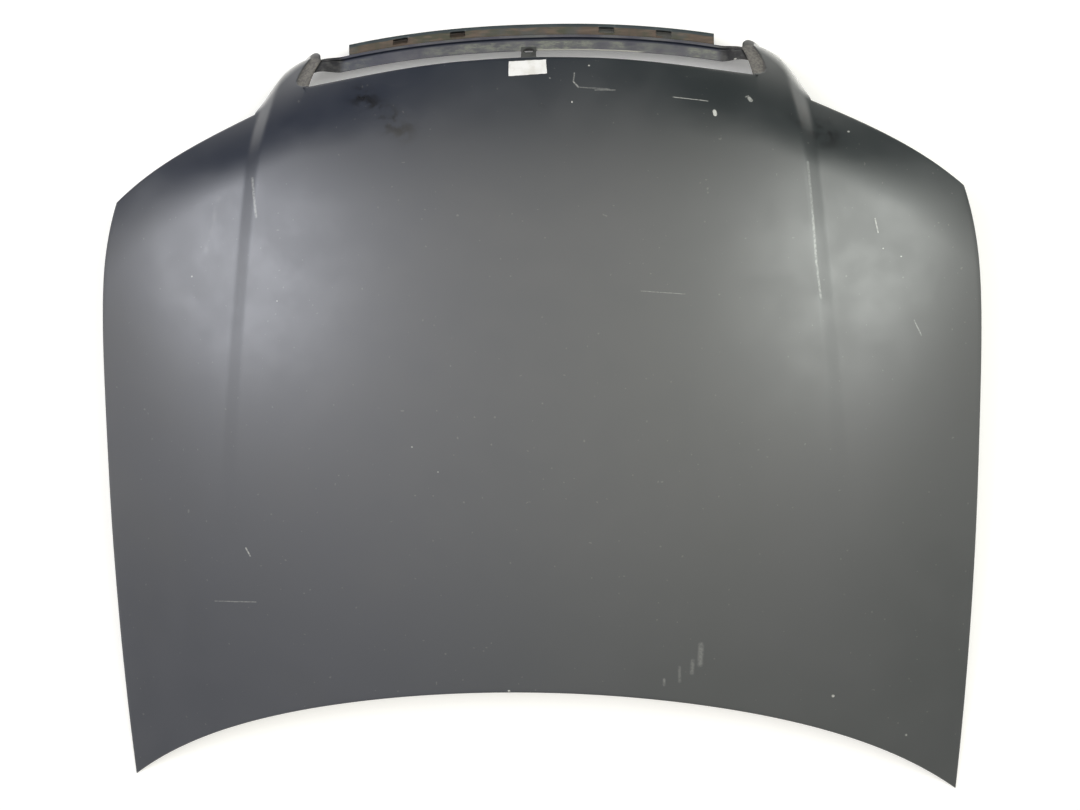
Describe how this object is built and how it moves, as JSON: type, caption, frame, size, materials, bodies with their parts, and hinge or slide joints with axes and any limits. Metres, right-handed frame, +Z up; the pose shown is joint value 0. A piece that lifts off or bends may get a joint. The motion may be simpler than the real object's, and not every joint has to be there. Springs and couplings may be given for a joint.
{
  "type": "car bonnet",
  "caption": "Pressed steel car bonnet: double-skinned panel with long creases, a low grille opening and a nose bar below it, in dark grey paint.",
  "frame": {"origin": "middle of the bonnet's overall length and width, on the floor that it lies on with its outer side up", "axes": "+X across the bonnet, to the right when it is seen from above with its nose at the top, +Y from the windscreen edge towards the nose, +Z up out of the outer side"},
  "size_m": [1.42, 1.2698, 0.136],
  "materials": {
    "grey_paint": "satin",
    "frame_paint": "dull",
    "bar_paint": "satin",
    "carrier_plastic": "dull with old adhesive",
    "strut_paint": "satin",
    "zinc": "zinc plate",
    "mastic": "dull",
    "bare_label": "matt paper"
  },
  "bodies": {
    "root": {"outer_skin": "grey_paint", "inner_frame": "frame_paint", "nose_bar": "bar_paint", "nose_bar_closing": "bar_paint", "trim_carrier": "carrier_plastic", "centre_strut": "strut_paint", "lock_reinforcement": "frame_paint", "hinge_plate_left": "frame_paint", "hinge_plate_right": "frame_paint", "striker_plate": "zinc", "striker_hoop": "zinc", "striker_bolt_left": "zinc", "striker_bolt_right": "zinc", "lock_nut_left": "zinc", "lock_nut_right": "zinc", "hinge_nut_left_rear": "zinc", "hinge_nut_left_front": "zinc", "hinge_nut_right_rear": "zinc", "hinge_nut_right_front": "zinc", "mastic_pad_01": "mastic", "mastic_pad_02": "mastic", "mastic_pad_03": "mastic", "mastic_pad_04": "mastic", "mastic_pad_05": "mastic", "mastic_pad_06": "mastic", "mastic_pad_07": "mastic", "mastic_pad_08": "mastic", "mastic_pad_09": "mastic", "mastic_pad_10": "mastic", "mastic_pad_11": "mastic", "mastic_pad_12": "mastic", "mastic_pad_13": "mastic", "mastic_pad_14": "mastic", "mastic_pad_15": "mastic", "mastic_pad_16": "mastic", "mastic_pad_17": "mastic", "mastic_pad_18": "mastic"}
  },
  "joints": []
}
